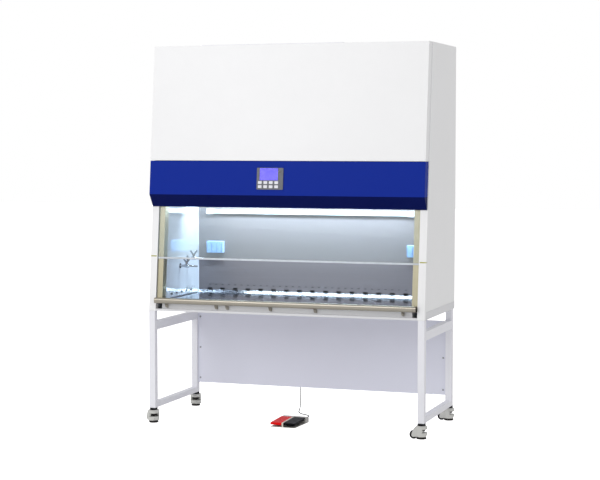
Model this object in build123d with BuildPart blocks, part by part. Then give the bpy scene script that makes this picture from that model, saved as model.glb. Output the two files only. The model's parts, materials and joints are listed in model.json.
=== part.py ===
from build123d import *
import os
from math import cos, pi, radians, sin, tan

os.makedirs("parts", exist_ok=True)

# A biosafety cabinet with a leaning front, on an open stand with levelling casters, and its foot switch.
# Millimetres. Z is up, X runs to the right as the user sees it and Y runs from the user to the back.
# The origin is on the floor, under the middle of the cabinet.

# Driving sizes of the cabinet and its stand
CABINET_WIDTH = 1700.0
CABINET_DEPTH = 720.0
BODY_HEIGHT = 1575.0
STAND_HEIGHT = 675.0
FRONT_LEAN = 5.8
SHEET = 1.5
FIT = 0.3

# Front of the cabinet: heights are counted from the underside of the body
COLUMN_WIDTH = 44.0
COLUMN_DEPTH = 32.0
COVER_PROUD = 64.0
COVER_INSET = 5.0
BAND_BOTTOM = 622.0
BAND_CHAMFER = 74.0
BAND_HEIGHT = 273.0
BAND_LIP = 6.0
BAND_GAP = 2.0

# Work chamber
JAMB_WIDTH = 36.0
JAMB_SETBACK = 12.0
JAMB_DEPTH = 52.0
JAMB_HEIGHT = 1180.0
REAR_DUCT = 136.0
WORK_HEIGHT = 70.0
CEILING_HEIGHT = 675.0
SLOT_LENGTH = 30.0
SLOT_HEIGHT = 11.0
SLOT_PITCH = 85.0
SLOT_SHIFT = -14.0
SLOT_RISE = 19.0
SMALL_SLOT_LENGTH = 14.0
SMALL_SLOT_HEIGHT = 4.0
SMALL_SLOT_RISE = 44.0
SIDE_SLOT_PITCH = 75.0
SIDE_SLOT_START = 160.0

# Base pan, armrest, grille and work surface
PAN_SHEET = 2.0
PAN_RIM = 44.5
PAN_UPSTAND = 47.0
LIP_HEIGHT = 13.0
RECESS_DEPTH = 22.0
ARMREST_TOP = 81.0
ARMREST_HEIGHT = 34.0
ARMREST_DEPTH = 36.0
ARMREST_REACH = 28.0
ARMREST_ROUND = 13.0
ARMREST_END_GAP = 2.5
BRACKET_PLACES = (-737.0, -419.0, -350.0, -80.0, 197.0, 721.0)
BRACKET_WIDTH = 12.0
GRILLE_DEPTH = 70.0
TRAY_RIM = 6.0
TRAY_SINK = 5.0

# Sash
GLASS_THICKNESS = 6.0
GLASS_SETBACK = 4.0
GLASS_HEIGHT = 590.0
GLASS_GRIP = 6.0
GROOVE_FRONT = 3.0
GROOVE_BACK = 11.0
SASH_REST = 311.0
SASH_EDGE_HEIGHT = 10.0
SASH_EDGE_DEPTH = 8.6
SASH_UP = 270.0
SASH_DOWN = 236.0

# Filters, plenum and blower inside the upper body
FILTER_DEPTH = 420.0
FILTER_HEIGHT = 90.0
FILTER_FRAME = 20.0
FILTER_MEDIA = 8.0
PLENUM_HEIGHT = 400.0
SCROLL_RADIUS = 118.0
SCROLL_WIDTH = 240.0
IMPELLER_RADIUS = 88.0
IMPELLER_WIDTH = 180.0
IMPELLER_BLADES = 14
SHAFT_RADIUS = 6.0
RUNNING_FIT = 0.06
EXHAUST_WIDTH = 900.0
EXHAUST_DEPTH = 300.0
EXHAUST_X = -200.0
EXHAUST_FILTER_HEIGHT = 78.0
GUARD_HEIGHT = 20.0
GUARD_BAR = 3.0
GUARD_PITCH = 75.0

# Lamps, sockets and service cocks in the chamber
LAMP_RADIUS = 13.0
UV_LAMP_LENGTH = 1260.0
UV_LAMP_X = -28.0
UV_LAMP_RISE = 574.0
UV_LAMP_STANDOFF = 36.0
WORK_LAMP_LENGTH = 1200.0
WORK_LAMP_RISE = 725.0
HOLDER_LENGTH = 38.0
SOCKET_X = 648.0
SOCKET_RISE = 351.0
SOCKET_WIDTH = 108.0
SOCKET_HEIGHT = 73.0
SOCKET_DEPTH = 30.0
FLAP_THICKNESS = 10.0
COCK_PLACES = {"upper": (397.0, 290.0), "lower": (287.0, 250.0)}
COCK_LENGTH = 116.0
COCK_STEM_OUT = 44.0
HANDLE_SPAN = 52.0

# Control panel on the band
PANEL_X = -82.0
PANEL_WIDTH = 163.0
PANEL_HEIGHT = 127.0
PANEL_RISE = 793.0
PANEL_THICKNESS = 5.0
DISPLAY_WIDTH = 112.0
DISPLAY_HEIGHT = 70.0
DISPLAY_SHIFT = (-7.0, 26.0)
SENSOR_SHIFT = (63.0, 41.0)
SENSOR_RADIUS = 6.5
KEY_WIDTH = 23.0
KEY_HEIGHT = 17.0
KEY_PITCH = (33.8, 24.0)
KEY_ROWS_DOWN = (-22.5, -46.5)
KEY_FIRST = -60.7
KEY_GAP = 0.4
KEY_FLOOR = 1.2
KEY_TRAVEL = 1.0
KEY_PROUD = 1.6

# Stand
TUBE = 40.0
TUBE_WALL = 2.0
TUBE_ROUND = 3.0
CASTER_HEIGHT = 89.0
CASTER_OVERHANG = 18.0
UPPER_RAIL_DROP = 66.0
UPPER_RAIL_HEIGHT = 50.0
LOWER_RAIL_HEIGHT = 32.0
STAND_DEPTH = 690.0
BACK_PANEL_BASE = 152.0
BACK_PANEL_HEIGHT = 450.0
BACK_PANEL_FLANGE = 18.0
BACK_PANEL_SETBACK = 16.0

# Levelling caster: a swivelling housing with one wheel behind it and a screw foot on the swivel axis
WHEEL_RADIUS = 24.5
WHEEL_WIDTH = 24.0
WHEEL_LIFT = 0.5
WHEEL_TRAIL = 44.0
WHEEL_GAP = 2.0
AXLE_RADIUS = 4.0
HOUSING_TOP = 75.5
HOUSING_RADIUS = 34.0
HOUSING_WIDTH = 44.0
HOUSING_BASE = 14.0
NOTCH_BASE = 36.5
NOTCH_TOP = 56.3
COLLAR_RADIUS = 23.0
STEM_RADIUS = 8.0
THUMBWHEEL_RADIUS = 22.0
THUMBWHEEL_HEIGHT = 10.0
SCREW_RADIUS = 6.0
PAD_RADIUS = 28.0
PAD_NECK = 22.0
PAD_HEIGHT = 13.0
CASTER_HEADINGS = {"front_left": 140.0, "front_right": 190.0, "rear_left": 105.0, "rear_right": 190.0}

# Foot switch and its cable
SWITCH_X = -30.0
SWITCH_Y = 208.0
SWITCH_TURN = -3.0
SWITCH_WIDTH = 156.0
SWITCH_LENGTH = 225.0
SWITCH_BOX_LENGTH = 55.0
SWITCH_BOX_HEIGHT = 36.0
SWITCH_PLATE = 3.0
SWITCH_GLAND_X = -24.0
DIVIDER_WIDTH = 9.0
PEDAL_FRONT_HEIGHT = 27.0
PEDAL_SKIRT = 13.0
PEDAL_GAP = 1.5
PEDAL_SHELL = 2.5
PEDAL_PIN_RADIUS = 3.0
PEDAL_HINGE_INSET = 8.0
PEDAL_HINGE_DROP = 10.0
CABLE_RADIUS = 3.0
GLAND_RADIUS = 9.0

# Places worked out from the sizes above
HALF_WIDTH = CABINET_WIDTH / 2
FRONT = -(CABINET_DEPTH + CASTER_OVERHANG - ARMREST_REACH) / 2
REAR = FRONT + CABINET_DEPTH
BASE = STAND_HEIGHT
TOP = BASE + BODY_HEIGHT
LEAN = radians(FRONT_LEAN)
LEAN_INWARD = Axis((0, 0, 0), (0, cos(LEAN), -sin(LEAN)))
MID_HALF = HALF_WIDTH - COLUMN_WIDTH
CHAMBER_HALF = MID_HALF - JAMB_WIDTH
REAR_WALL = REAR - REAR_DUCT
WORK_Z = BASE + WORK_HEIGHT
CEILING_Z = BASE + CEILING_HEIGHT
BAND_BASE_Z = BASE + BAND_BOTTOM
BAND_FOLD_Z = BAND_BASE_Z + BAND_CHAMFER
BAND_TOP_Z = BAND_BASE_Z + BAND_HEIGHT
COVER_HALF = HALF_WIDTH - COVER_INSET
JAMB_BACK = JAMB_SETBACK + JAMB_DEPTH


def lean_y(z, proud=0.0):
    """Y of the leaning front plane at a height, moved towards the user by proud."""
    return FRONT + (z - BASE) * tan(LEAN) - proud


def front_plane(x, z, proud):
    """Plane on the leaning front, with its Y axis up the slope and its normal towards the user."""
    return Plane(origin=(x, lean_y(z, proud), z), x_dir=(1, 0, 0), z_dir=(0, -cos(LEAN), sin(LEAN)))


def block(x0, x1, y0, y1, z0, z1, mode=Mode.ADD):
    """Rectangular bar or plate between two opposite corners."""
    with Locations(((x0 + x1) / 2, (y0 + y1) / 2, (z0 + z1) / 2)):
        Box(abs(x1 - x0), y1 - y0, z1 - z0, mode=mode)


def across(points, x0, x1, mode=Mode.ADD):
    """Profile drawn in Y and Z, carried along X."""
    with BuildSketch(Plane.YZ.offset(x0)) as profile:
        with BuildLine():
            Polyline(*points, close=True)
        make_face()
    extrude(profile.sketch, amount=x1 - x0, dir=(1, 0, 0), mode=mode)


def leaning_strip(near, far, z0, z1):
    """Profile of a strip parallel to the leaning front, between two distances behind it."""
    return [(lean_y(z0, -near), z0), (lean_y(z1, -near), z1), (lean_y(z1, -far), z1), (lean_y(z0, -far), z0)]


def save(name, *solids):
    """Write one node: a single solid, or several that stay separate."""
    shape = solids[0] if len(solids) == 1 else Compound(children=list(solids))
    shape.label = name
    export_step(shape, f"parts/{name}.step")


# Stand: two welded side frames of square tube and a folded back panel
LEG_X = HALF_WIDTH - TUBE / 2
LEG_FRONT_Y = FRONT + TUBE / 2
LEG_REAR_Y = FRONT + STAND_DEPTH - TUBE / 2
LEG_TOP = BASE - FIT


def tube_upright(x, y):
    """Leg of square tube with a closing plate at the bottom that holds the caster's stem."""
    with BuildPart() as leg:
        with BuildSketch(Plane.XY.offset(CASTER_HEIGHT)):
            with Locations((x, y)):
                RectangleRounded(TUBE, TUBE, TUBE_ROUND)
                Rectangle(TUBE - 2 * TUBE_WALL, TUBE - 2 * TUBE_WALL, mode=Mode.SUBTRACT)
        extrude(amount=LEG_TOP - CASTER_HEIGHT)
        with BuildSketch(Plane.XY.offset(CASTER_HEIGHT)):
            with Locations((x, y)):
                Rectangle(TUBE - TUBE_WALL, TUBE - TUBE_WALL)
                Circle(STEM_RADIUS + RUNNING_FIT, mode=Mode.SUBTRACT)
        extrude(amount=3 * TUBE_WALL)
    return leg


def tube_rail(x, top, height):
    """Rail of rectangular tube between the two legs of one side."""
    with BuildPart() as rail:
        with BuildSketch(Plane.XZ.offset(-(LEG_FRONT_Y + TUBE / 2))):
            with Locations((x, top - height / 2)):
                Rectangle(TUBE, height)
                Rectangle(TUBE - 2 * TUBE_WALL, height - 2 * TUBE_WALL, mode=Mode.SUBTRACT)
        extrude(amount=-(LEG_REAR_Y - LEG_FRONT_Y - TUBE))
    return rail


for side, sign in (("left", -1), ("right", 1)):
    front_leg = tube_upright(sign * LEG_X, LEG_FRONT_Y)
    rear_leg = tube_upright(sign * LEG_X, LEG_REAR_Y)
    upper_rail = tube_rail(sign * LEG_X, BASE - UPPER_RAIL_DROP, UPPER_RAIL_HEIGHT)
    lower_rail = tube_rail(sign * LEG_X, CASTER_HEIGHT + LOWER_RAIL_HEIGHT, LOWER_RAIL_HEIGHT)
    save(f"stand_{side}_frame", front_leg.part, rear_leg.part, upper_rail.part, lower_rail.part)

BACK_PANEL_HALF = LEG_X - TUBE / 2
BACK_PANEL_Y = LEG_REAR_Y - TUBE / 2 + BACK_PANEL_SETBACK
BACK_PANEL_TOP = BACK_PANEL_BASE + BACK_PANEL_HEIGHT

with BuildPart() as stand_back_panel:
    block(-BACK_PANEL_HALF, BACK_PANEL_HALF, BACK_PANEL_Y, BACK_PANEL_Y + BACK_PANEL_FLANGE,
          BACK_PANEL_BASE, BACK_PANEL_TOP)
    offset(amount=-SHEET, openings=stand_back_panel.faces().sort_by(Axis.Y)[-1])
stand_back_panel.part.label = "stand_back_panel"
export_step(stand_back_panel.part, "parts/stand_back_panel.step")

# Levelling casters: the swivel axis, screw and pad share the leg's axis
CORNERS = {
    "front_left": (-LEG_X, LEG_FRONT_Y), "front_right": (LEG_X, LEG_FRONT_Y),
    "rear_left": (-LEG_X, LEG_REAR_Y), "rear_right": (LEG_X, LEG_REAR_Y),
}
AXLE_Z = WHEEL_RADIUS + WHEEL_LIFT


def caster_stem(x, y):
    """Collar and stem: the stem is held in the leg and the housing swivels on its lower end."""
    with BuildPart() as stem:
        with BuildSketch(Plane.XY.offset(NOTCH_TOP)):
            with Locations((x, y)):
                Circle(STEM_RADIUS)
        extrude(amount=CASTER_HEIGHT + 3 * TUBE_WALL - NOTCH_TOP)
        with BuildSketch(Plane.XY.offset(HOUSING_TOP + FIT)):
            with Locations((x, y)):
                Circle(COLLAR_RADIUS)
        extrude(amount=CASTER_HEIGHT - HOUSING_TOP - FIT, taper=-4)
    return stem


def caster_housing(x, y, heading):
    """Housing with a rounded nose, a notch for the thumbwheel and a pocket with an axle for the wheel."""
    ahead = (cos(radians(heading)), sin(radians(heading)), 0)
    flat = Plane(origin=(x, y, 0), x_dir=ahead, z_dir=(0, 0, 1))
    upright = Plane(origin=(x, y, 0), x_dir=ahead, z_dir=(ahead[1], -ahead[0], 0))
    nose = HOUSING_RADIUS + 1
    hub = 12.0
    slot_from = WHEEL_TRAIL - WHEEL_RADIUS - WHEEL_GAP
    slot_to = WHEEL_TRAIL + WHEEL_RADIUS + WHEEL_GAP
    with BuildPart() as housing:
        with BuildSketch(upright):
            with BuildLine():
                lower = Polyline((WHEEL_TRAIL - 6, AXLE_Z - hub + 1), (WHEEL_TRAIL / 2, HOUSING_BASE + 1),
                                 (WHEEL_TRAIL / 3, HOUSING_BASE), (-nose + 8, HOUSING_BASE),
                                 (-nose, NOTCH_BASE - 5), (-nose + 3, NOTCH_BASE), (-3, NOTCH_BASE))
                bow = ThreePointArc(lower @ 1, (-9, (NOTCH_BASE + NOTCH_TOP) / 2), (-3, NOTCH_TOP))
                upper = Polyline(bow @ 1, (-nose + 2, NOTCH_TOP), (-nose, NOTCH_TOP + 3),
                                 (-nose, NOTCH_TOP + 10), (-COLLAR_RADIUS, HOUSING_TOP),
                                 (COLLAR_RADIUS, HOUSING_TOP))
                back = ThreePointArc(upper @ 1, (WHEEL_TRAIL + 2, HOUSING_TOP - 22), (WHEEL_TRAIL + hub, AXLE_Z))
                ThreePointArc(back @ 1, (WHEEL_TRAIL + 6, AXLE_Z - hub + 2), lower @ 0)
            make_face()
        extrude(amount=HOUSING_RADIUS, both=True)
        with BuildSketch(flat):
            Circle(HOUSING_RADIUS)
            with Locations((slot_to / 2, 0)):
                Rectangle(slot_to, HOUSING_WIDTH)
        extrude(amount=CASTER_HEIGHT, mode=Mode.INTERSECT)
        with BuildSketch(flat):
            with Locations(((slot_from + slot_to) / 2, 0)):
                Rectangle(slot_to - slot_from, WHEEL_WIDTH + WHEEL_GAP)
        extrude(amount=HOUSING_TOP - 8, mode=Mode.SUBTRACT)
        with BuildSketch(flat.offset(NOTCH_BASE)):
            Circle(THUMBWHEEL_RADIUS + 2)
        extrude(amount=NOTCH_TOP - NOTCH_BASE, mode=Mode.SUBTRACT)
        with BuildSketch(flat):
            Circle(SCREW_RADIUS + RUNNING_FIT)
        extrude(amount=NOTCH_BASE, mode=Mode.SUBTRACT)
        with BuildSketch(flat.offset(NOTCH_TOP)):
            Circle(STEM_RADIUS + RUNNING_FIT)
        extrude(amount=HOUSING_TOP - NOTCH_TOP, mode=Mode.SUBTRACT)
        with BuildSketch(upright):
            with Locations((WHEEL_TRAIL, AXLE_Z)):
                Circle(AXLE_RADIUS)
        extrude(amount=HOUSING_WIDTH / 2 + 1, both=True)
    return housing


def caster_wheel(x, y, heading):
    """Wheel with a rounded tread and a stepped web on each side."""
    ahead = (cos(radians(heading)), sin(radians(heading)), 0)
    centre = (x + WHEEL_TRAIL * ahead[0], y + WHEEL_TRAIL * ahead[1], AXLE_Z)
    half = WHEEL_WIDTH / 2
    section = Plane(origin=centre, x_dir=ahead, z_dir=(0, 0, 1))
    with BuildPart() as wheel:
        with BuildSketch(section):
            with BuildLine():
                bore = AXLE_RADIUS + RUNNING_FIT
                Polyline((bore, -half), (9, -half), (10, -half + 3), (WHEEL_RADIUS - 7, -half + 3),
                         (WHEEL_RADIUS - 6, -half), (WHEEL_RADIUS - 3, -half), (WHEEL_RADIUS, -half + 4),
                         (WHEEL_RADIUS, half - 4), (WHEEL_RADIUS - 3, half), (WHEEL_RADIUS - 6, half),
                         (WHEEL_RADIUS - 7, half - 3), (10, half - 3), (9, half), (bore, half), close=True)
            make_face()
        revolve(axis=Axis(centre, (-ahead[1], ahead[0], 0)))
    return wheel


def levelling_foot(x, y):
    """Rubber pad, screw and ribbed thumbwheel, which travel together."""
    wheel_base = NOTCH_TOP - THUMBWHEEL_HEIGHT - FIT
    with BuildPart() as foot:
        with BuildSketch(Plane(origin=(x, y, 0), x_dir=(1, 0, 0), z_dir=(0, -1, 0))):
            with BuildLine():
                Polyline((0, 0), (PAD_RADIUS, 0), (PAD_RADIUS, 3), (PAD_NECK, PAD_HEIGHT), (0, PAD_HEIGHT),
                         close=True)
            make_face()
        revolve(axis=Axis((x, y, 0), (0, 0, 1)))
        with BuildSketch():
            with Locations((x, y)):
                Circle(SCREW_RADIUS)
        extrude(amount=wheel_base + THUMBWHEEL_HEIGHT / 2)
        with BuildSketch(Plane.XY.offset(wheel_base)):
            with Locations((x, y)):
                Circle(THUMBWHEEL_RADIUS)
                with PolarLocations(THUMBWHEEL_RADIUS, 12):
                    Circle(2.5, mode=Mode.SUBTRACT)
        extrude(amount=THUMBWHEEL_HEIGHT)
    return foot


save("caster_stems", *[caster_stem(x, y).part for x, y in CORNERS.values()])
for corner, (x, y) in CORNERS.items():
    heading = CASTER_HEADINGS[corner]
    save(f"caster_housing_{corner}", caster_housing(x, y, heading).part)
    save(f"caster_wheel_{corner}", caster_wheel(x, y, heading).part)
    save(f"levelling_foot_{corner}", levelling_foot(x, y).part)

# Base pan: an open tray with a front lip, a recess under the armrest and an upstand round the chamber
PAN_FRONT = FRONT + COLUMN_DEPTH + 6.0
PAN_MID = MID_HALF - 0.5
UPSTAND_FRONT = FRONT + RECESS_DEPTH
UPSTAND_TOP = BASE + PAN_UPSTAND

with BuildPart() as base_pan:
    with BuildSketch(Plane.XY.offset(BASE)):
        with Locations((0, (FRONT + REAR) / 2)):
            Rectangle(CABINET_WIDTH, CABINET_DEPTH)
        for sign in (-1, 1):
            with Locations((sign * (PAN_MID + HALF_WIDTH) / 2, (FRONT + PAN_FRONT) / 2)):
                Rectangle(HALF_WIDTH - PAN_MID, PAN_FRONT - FRONT, mode=Mode.SUBTRACT)
    extrude(amount=PAN_RIM)
    offset(amount=-PAN_SHEET, openings=base_pan.faces().sort_by(Axis.Z)[-1])
    block(-HALF_WIDTH, HALF_WIDTH, FRONT, UPSTAND_FRONT, BASE + LIP_HEIGHT, BASE + PAN_RIM, Mode.SUBTRACT)
    block(-PAN_MID, PAN_MID, FRONT, UPSTAND_FRONT, BASE + LIP_HEIGHT - PAN_SHEET, BASE + LIP_HEIGHT)
    with BuildSketch(Plane.XY.offset(BASE)):
        with Locations((0, (UPSTAND_FRONT + REAR_WALL + PAN_SHEET) / 2)):
            upstand_depth = REAR_WALL + PAN_SHEET - UPSTAND_FRONT
            Rectangle(2 * (CHAMBER_HALF + PAN_SHEET), upstand_depth)
            Rectangle(2 * CHAMBER_HALF, upstand_depth - 2 * PAN_SHEET, mode=Mode.SUBTRACT)
    extrude(amount=PAN_UPSTAND)
    with BuildSketch(Plane.XY.offset(BASE)):
        with Locations((0, (UPSTAND_FRONT + REAR_WALL) / 2)):
            with GridLocations(2 * (CHAMBER_HALF - 60), 0, 2, 1):
                Rectangle(PAN_SHEET, REAR_WALL - UPSTAND_FRONT - 10)
    extrude(amount=WORK_HEIGHT - TRAY_SINK - PAN_SHEET)
base_pan.part.label = "base_pan"
export_step(base_pan.part, "parts/base_pan.step")

# Outer skin: side panels folded round the front columns, rear and top panels
SKIN_BASE = BASE + PAN_RIM + 0.5
GLASS_HALF = MID_HALF + GLASS_GRIP


def side_panel(sign):
    """Side skin with a hollow front column, open towards the sash, and a rear flange."""
    outer = sign * HALF_WIDTH
    inner = sign * MID_HALF
    with BuildPart() as panel:
        across([(lean_y(SKIN_BASE), SKIN_BASE), (lean_y(TOP), TOP), (REAR, TOP), (REAR, SKIN_BASE)],
               outer, outer - sign * SHEET)
        across(leaning_strip(0, COLUMN_DEPTH, BASE + FIT, TOP), outer, inner)
        across(leaning_strip(SHEET, COLUMN_DEPTH + 10, BASE + FIT + SHEET, TOP - SHEET),
               outer - sign * SHEET, inner + sign * SHEET, Mode.SUBTRACT)
        across(leaning_strip(GROOVE_FRONT, GROOVE_BACK, WORK_Z, TOP - SHEET), inner - sign, inner + sign * 10,
               Mode.SUBTRACT)
        block(outer, outer - sign * 20, REAR - 2 * SHEET - FIT, REAR - SHEET - FIT, SKIN_BASE, TOP - SHEET)
    return panel


left_side_panel = side_panel(-1)
left_side_panel.part.label = "left_side_panel"
export_step(left_side_panel.part, "parts/left_side_panel.step")
right_side_panel = side_panel(1)
right_side_panel.part.label = "right_side_panel"
export_step(right_side_panel.part, "parts/right_side_panel.step")

INNER_HALF = HALF_WIDTH - SHEET - FIT

with BuildPart() as rear_panel:
    block(-INNER_HALF, INNER_HALF, REAR - SHEET, REAR, SKIN_BASE, TOP - SHEET - FIT)
    block(-INNER_HALF + 25, INNER_HALF - 25, REAR - 12, REAR - SHEET, SKIN_BASE, SKIN_BASE + SHEET)
rear_panel.part.label = "rear_panel"
export_step(rear_panel.part, "parts/rear_panel.step")

TOP_FRONT = lean_y(TOP) + COLUMN_DEPTH + FIT
EXHAUST_Y = REAR - 60 - EXHAUST_DEPTH / 2

with BuildPart() as top_panel:
    block(-INNER_HALF, INNER_HALF, TOP_FRONT, REAR, TOP - SHEET, TOP)
    block(-MID_HALF + FIT, MID_HALF - FIT, lean_y(TOP) + FIT, TOP_FRONT, TOP - SHEET, TOP)
    block(EXHAUST_X - EXHAUST_WIDTH / 2 + FILTER_FRAME, EXHAUST_X + EXHAUST_WIDTH / 2 - FILTER_FRAME,
          EXHAUST_Y - EXHAUST_DEPTH / 2 + FILTER_FRAME, EXHAUST_Y + EXHAUST_DEPTH / 2 - FILTER_FRAME,
          TOP - SHEET, TOP, Mode.SUBTRACT)
    with BuildSketch(Plane.XY.offset(TOP)):
        with Locations((HALF_WIDTH - 120, REAR - 60)):
            Circle(14)
    extrude(amount=GUARD_HEIGHT - 4, taper=6)
top_panel.part.label = "top_panel"
export_step(top_panel.part, "parts/top_panel.step")

# Front cover and control band: folded boxes, open at the back, seated on the two columns
with BuildPart() as front_cover:
    cover_base = BAND_TOP_Z + BAND_GAP
    across([(lean_y(cover_base, COVER_PROUD), cover_base), (lean_y(TOP, COVER_PROUD), TOP),
            (lean_y(TOP, FIT), TOP), (lean_y(cover_base, FIT), cover_base)], -COVER_HALF, COVER_HALF)
    fillet(front_cover.edges().filter_by(Axis.X).sort_by(Axis.Y)[0:1], 2)
    offset(amount=-SHEET, openings=front_cover.faces().sort_by(LEAN_INWARD)[-1])
front_cover.part.label = "front_cover"
export_step(front_cover.part, "parts/front_cover.step")

with BuildPart() as control_fascia:
    across([(lean_y(BAND_TOP_Z, COVER_PROUD), BAND_TOP_Z), (lean_y(BAND_FOLD_Z, COVER_PROUD), BAND_FOLD_Z),
            (lean_y(BAND_BASE_Z, BAND_LIP), BAND_BASE_Z), (lean_y(BAND_BASE_Z, FIT), BAND_BASE_Z),
            (lean_y(BAND_TOP_Z, FIT), BAND_TOP_Z)], -COVER_HALF, COVER_HALF)
    offset(amount=-SHEET, openings=control_fascia.faces().sort_by(LEAN_INWARD)[-1])
control_fascia.part.label = "control_fascia"
export_step(control_fascia.part, "parts/control_fascia.step")

# Control panel: a moulded plate with a window pocket, a sensor hole and eight key pockets
PANEL_Z = BASE + PANEL_RISE
panel_face = front_plane(PANEL_X, PANEL_Z, COVER_PROUD)
KEY_PLACES = [(KEY_FIRST + column * KEY_PITCH[0], row) for row in KEY_ROWS_DOWN for column in range(4)]

with BuildPart() as control_panel:
    with BuildSketch(panel_face):
        RectangleRounded(PANEL_WIDTH, PANEL_HEIGHT, 5)
    extrude(amount=PANEL_THICKNESS)
    with BuildSketch(panel_face.offset(PANEL_THICKNESS - 2)):
        with Locations(DISPLAY_SHIFT):
            Rectangle(DISPLAY_WIDTH, DISPLAY_HEIGHT)
        with Locations(SENSOR_SHIFT):
            Circle(SENSOR_RADIUS)
    extrude(amount=2, mode=Mode.SUBTRACT)
    with BuildSketch(panel_face.offset(KEY_FLOOR)):
        with Locations(*KEY_PLACES):
            Rectangle(KEY_WIDTH + 2 * KEY_GAP, KEY_HEIGHT + 2 * KEY_GAP)
    extrude(amount=PANEL_THICKNESS - KEY_FLOOR, mode=Mode.SUBTRACT)
control_panel.part.label = "control_panel"
export_step(control_panel.part, "parts/control_panel.step")

with BuildPart() as display_window:
    with BuildSketch(panel_face.offset(PANEL_THICKNESS - 2)):
        with Locations(DISPLAY_SHIFT):
            Rectangle(DISPLAY_WIDTH, DISPLAY_HEIGHT)
        with Locations(SENSOR_SHIFT):
            Circle(SENSOR_RADIUS)
    extrude(amount=2.4)
display_window.part.label = "display_window"
export_step(display_window.part, "parts/display_window.step")

for number, place in enumerate(KEY_PLACES, start=1):
    with BuildPart() as key:
        with BuildSketch(panel_face.offset(KEY_FLOOR + KEY_TRAVEL + 0.2)):
            with Locations(place):
                RectangleRounded(KEY_WIDTH, KEY_HEIGHT, 3)
        extrude(amount=PANEL_THICKNESS + KEY_PROUD - KEY_FLOOR - KEY_TRAVEL - 0.2)
        chamfer(key.faces().sort_by(Axis(panel_face.origin, panel_face.z_dir))[-1].edges(), 0.6)
    key.part.label = f"key_{number}"
    export_step(key.part, f"parts/key_{number}.step")

# Sash guides: stainless jambs just behind the glass, turned back to meet the chamber's side walls
with BuildPart() as sash_guides:
    for sign in (-1, 1):
        across(leaning_strip(JAMB_SETBACK, JAMB_SETBACK + SHEET, UPSTAND_TOP, BASE + JAMB_HEIGHT),
               sign * CHAMBER_HALF, sign * (MID_HALF - FIT))
        across(leaning_strip(JAMB_SETBACK, JAMB_BACK, UPSTAND_TOP, BASE + JAMB_HEIGHT),
               sign * CHAMBER_HALF, sign * (CHAMBER_HALF + SHEET))
sash_guides.part.label = "sash_guides"
export_step(sash_guides.part, "parts/sash_guides.step")

# Chamber walls: stainless side and rear liners, with a row of large return slots and small ones above
SLOT_Z = WORK_Z + SLOT_RISE
SMALL_SLOT_Z = WORK_Z + SMALL_SLOT_RISE
LINER_TOP = CEILING_Z


def side_liner(sign):
    """Side wall of the chamber, from the leaning guide to the rear wall, with return slots."""
    face = sign * CHAMBER_HALF
    with BuildPart() as liner:
        across([(lean_y(UPSTAND_TOP, -JAMB_BACK), UPSTAND_TOP), (lean_y(LINER_TOP, -JAMB_BACK), LINER_TOP),
                (REAR_WALL, LINER_TOP), (REAR_WALL, UPSTAND_TOP)], face, face + sign * SHEET)
        with BuildSketch(Plane.YZ.offset(face - sign)):
            for step in range(5):
                with Locations((FRONT + SIDE_SLOT_START + step * SIDE_SLOT_PITCH, SLOT_Z)):
                    Rectangle(SLOT_LENGTH, SLOT_HEIGHT)
            for step in range(11):
                with Locations((FRONT + SIDE_SLOT_START + (step - 1) * SIDE_SLOT_PITCH / 2, SMALL_SLOT_Z - 8)):
                    Rectangle(SMALL_SLOT_LENGTH, SMALL_SLOT_HEIGHT)
        extrude(amount=sign * (SHEET + 2), mode=Mode.SUBTRACT)
    return liner


with BuildPart() as rear_liner:
    block(-CHAMBER_HALF - SHEET, CHAMBER_HALF + SHEET, REAR_WALL, REAR_WALL + SHEET, UPSTAND_TOP, LINER_TOP)
    with BuildSketch(Plane.XZ.offset(-(REAR_WALL - 1))):
        with Locations((SLOT_SHIFT, SLOT_Z)):
            with GridLocations(SLOT_PITCH, 0, 17, 1):
                Rectangle(SLOT_LENGTH, SLOT_HEIGHT)
        with Locations((SLOT_SHIFT, SMALL_SLOT_Z)):
            with GridLocations(SLOT_PITCH / 2, 0, 33, 1):
                Rectangle(SMALL_SLOT_LENGTH, SMALL_SLOT_HEIGHT)
    extrude(amount=-(SHEET + 2), mode=Mode.SUBTRACT)
save("chamber_walls", side_liner(-1).part, side_liner(1).part, rear_liner.part)

# Ceiling diffuser on top of the liners, with rows of outlet slots
CEILING_FRONT = lean_y(CEILING_Z + PAN_SHEET, -JAMB_BACK) + FIT
CEILING_MID_Y = (CEILING_FRONT + REAR_WALL) / 2

with BuildPart() as ceiling_diffuser:
    block(-CHAMBER_HALF - SHEET, CHAMBER_HALF + SHEET, CEILING_FRONT, REAR_WALL + SHEET,
          CEILING_Z, CEILING_Z + PAN_SHEET)
    with BuildSketch(Plane.XY.offset(CEILING_Z)):
        with Locations((0, CEILING_MID_Y)):
            with GridLocations(112, 60, 13, 7):
                Rectangle(80, 12)
    extrude(amount=PAN_SHEET, mode=Mode.SUBTRACT)
ceiling_diffuser.part.label = "ceiling_diffuser"
export_step(ceiling_diffuser.part, "parts/ceiling_diffuser.step")

# Work surface: a dished tray on the pan's rails, behind the slotted intake grille
GRILLE_FRONT = UPSTAND_FRONT + PAN_SHEET + FIT
TRAY_FRONT = GRILLE_FRONT + GRILLE_DEPTH + FIT
TRAY_DEPTH = REAR_WALL - FIT - TRAY_FRONT
TRAY_HALF = CHAMBER_HALF - FIT
TRAY_BASE = WORK_Z - TRAY_SINK - PAN_SHEET

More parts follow.
